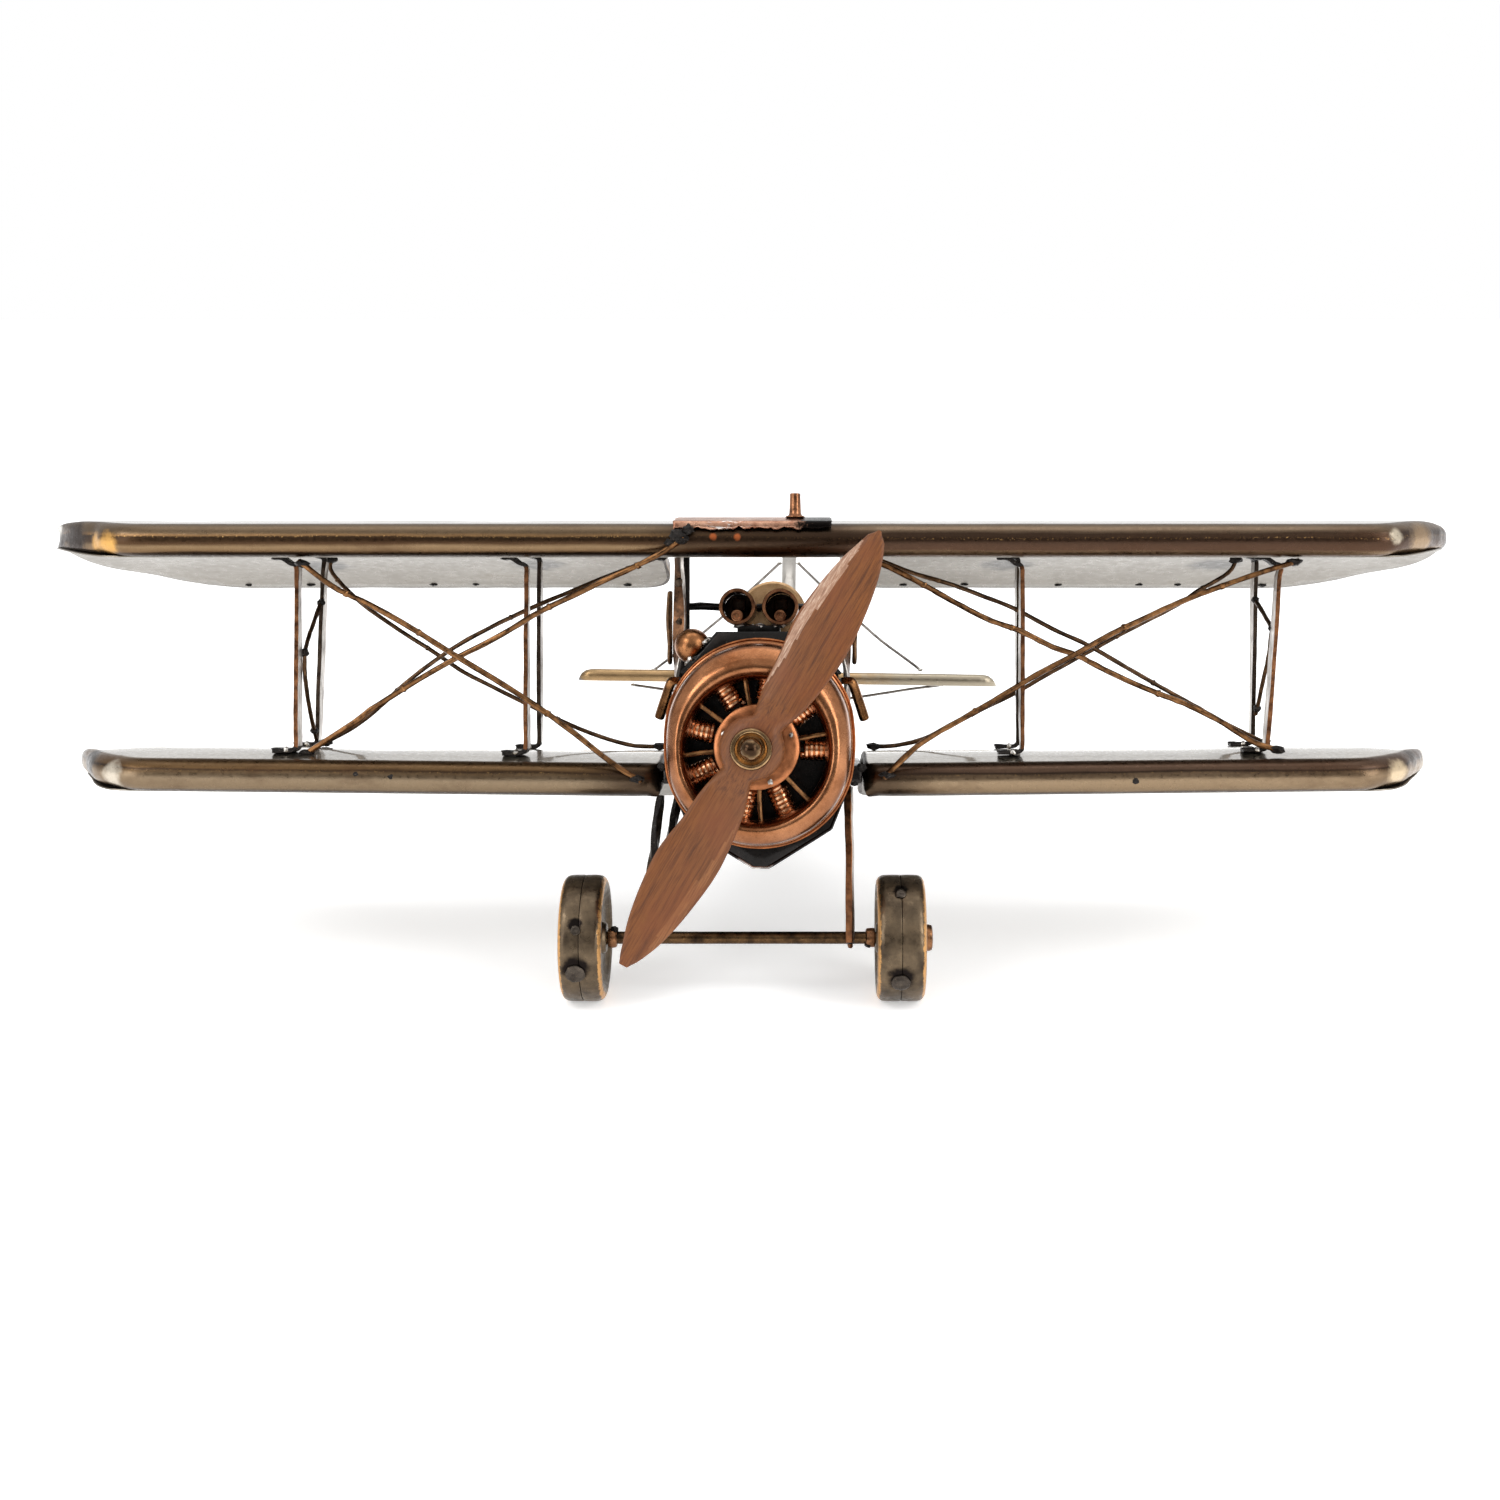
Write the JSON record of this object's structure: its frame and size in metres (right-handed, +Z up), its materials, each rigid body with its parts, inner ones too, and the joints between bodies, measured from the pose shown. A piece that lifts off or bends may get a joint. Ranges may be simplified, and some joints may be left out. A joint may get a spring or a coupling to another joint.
{
  "type": "model biplane",
  "caption": "Hand-made metal display biplane with a wooden propeller that turns, wire bracing, a copper cowl and two turning wheels.",
  "frame": {"origin": "centre of the footprint, on the surface that the wheels and the tail skid rest on", "axes": "+X to the right across the span seen from the front, +Y aft from nose to tail, +Z up; the aeroplane stands tail-down, its thrust line tipped nose-up by 13 degrees"},
  "size_m": [0.4002, 0.283, 0.1338],
  "materials": {
    "wing_bronze": "satin bronze sheet with rubbed beige bands",
    "black_sheet": "gloss black, worn at the folds",
    "cowl_copper": "polished copper with heat stains",
    "copper_wire": "bare copper wire",
    "rigging_wire": "dull copper wire",
    "strut_strip": "brown front edge, grey sides",
    "black_strip": "satin black with solder",
    "gun_metal": "dark satin",
    "propeller_wood": "oiled reddish wood",
    "turned_brass": "turned, satin",
    "bare_steel": "bare, darkened",
    "axle_fittings": "copper with black solder",
    "wheel_metal": "dark bronze grey with gold wear",
    "fin_steel": "light grey sheet, dark edges"
  },
  "bodies": {
    "airframe": {"axle": "bare_steel", "axle_stops": "axle_fittings", "cabane_brace_rods": "black_strip", "cabane_crossbar": "black_strip", "cabane_front_struts": "black_strip", "cabane_rear_posts": "black_strip", "cockpit_coaming": "black_sheet", "cowl_band": "cowl_copper", "cowl_blisters": "cowl_copper", "cowl_ring": "cowl_copper", "crankcase": "cowl_copper", "engine_bulkhead": "black_sheet", "engine_cylinders": "copper_wire", "exhaust_stubs": "black_sheet", "filler_tube": "cowl_copper", "fuselage_deck": "black_sheet", "fuselage_hull": "black_sheet", "gun_barrels": "gun_metal", "gun_fairing": "wing_bronze", "gun_jackets": "gun_metal", "gun_saddle": "black_sheet", "incidence_wires": "rigging_wire", "left_flying_wires": "rigging_wire", "left_gear_legs": "black_strip", "left_inner_front_strut": "strut_strip", "left_inner_rear_strut": "strut_strip", "left_landing_wires": "rigging_wire", "left_outer_front_strut": "strut_strip", "left_outer_rear_strut": "strut_strip", "lower_left_wing_skin": "wing_bronze", "lower_left_wing_underside": "wing_bronze", "lower_right_wing_skin": "wing_bronze", "lower_right_wing_underside": "wing_bronze", "propeller_nut": "turned_brass", "propeller_shaft": "bare_steel", "pushrods": "copper_wire", "right_flying_wires": "rigging_wire", "right_gear_legs": "black_strip", "right_inner_front_strut": "strut_strip", "right_inner_rear_strut": "strut_strip", "right_landing_wires": "rigging_wire", "right_outer_front_strut": "strut_strip", "right_outer_rear_strut": "strut_strip", "tail_fin": "fin_steel", "tail_skid": "black_strip", "tail_wires": "rigging_wire", "tailplane": "wing_bronze", "thrust_washer": "bare_steel", "upper_wing_skin": "wing_bronze", "upper_wing_underside": "wing_bronze", "wing_centre_panel": "cowl_copper", "wing_root_fittings": "black_sheet"},
    "propeller": {"propeller": "propeller_wood"},
    "left_wheel": {"left_wheel_outer_half": "wheel_metal", "left_wheel_inner_half": "wheel_metal", "left_wheel_plugs": "wheel_metal"},
    "right_wheel": {"right_wheel_outer_half": "wheel_metal", "right_wheel_inner_half": "wheel_metal", "right_wheel_plugs": "wheel_metal"}
  },
  "joints": [
    {"name": "propeller_spin", "type": "hinge", "parent": "airframe", "child": "propeller", "pos_m": [0.001, -0.12671, 0.07702], "axis": [0, -0.9744, 0.225], "continuous": true},
    {"name": "left_wheel_spin", "type": "hinge", "parent": "airframe", "child": "left_wheel", "pos_m": [-0.0452, -0.10055, 0.017], "axis": [1, 0, 0], "continuous": true},
    {"name": "right_wheel_spin", "type": "hinge", "parent": "airframe", "child": "right_wheel", "pos_m": [0.0398, -0.10055, 0.017], "axis": [1, 0, 0], "continuous": true}
  ]
}
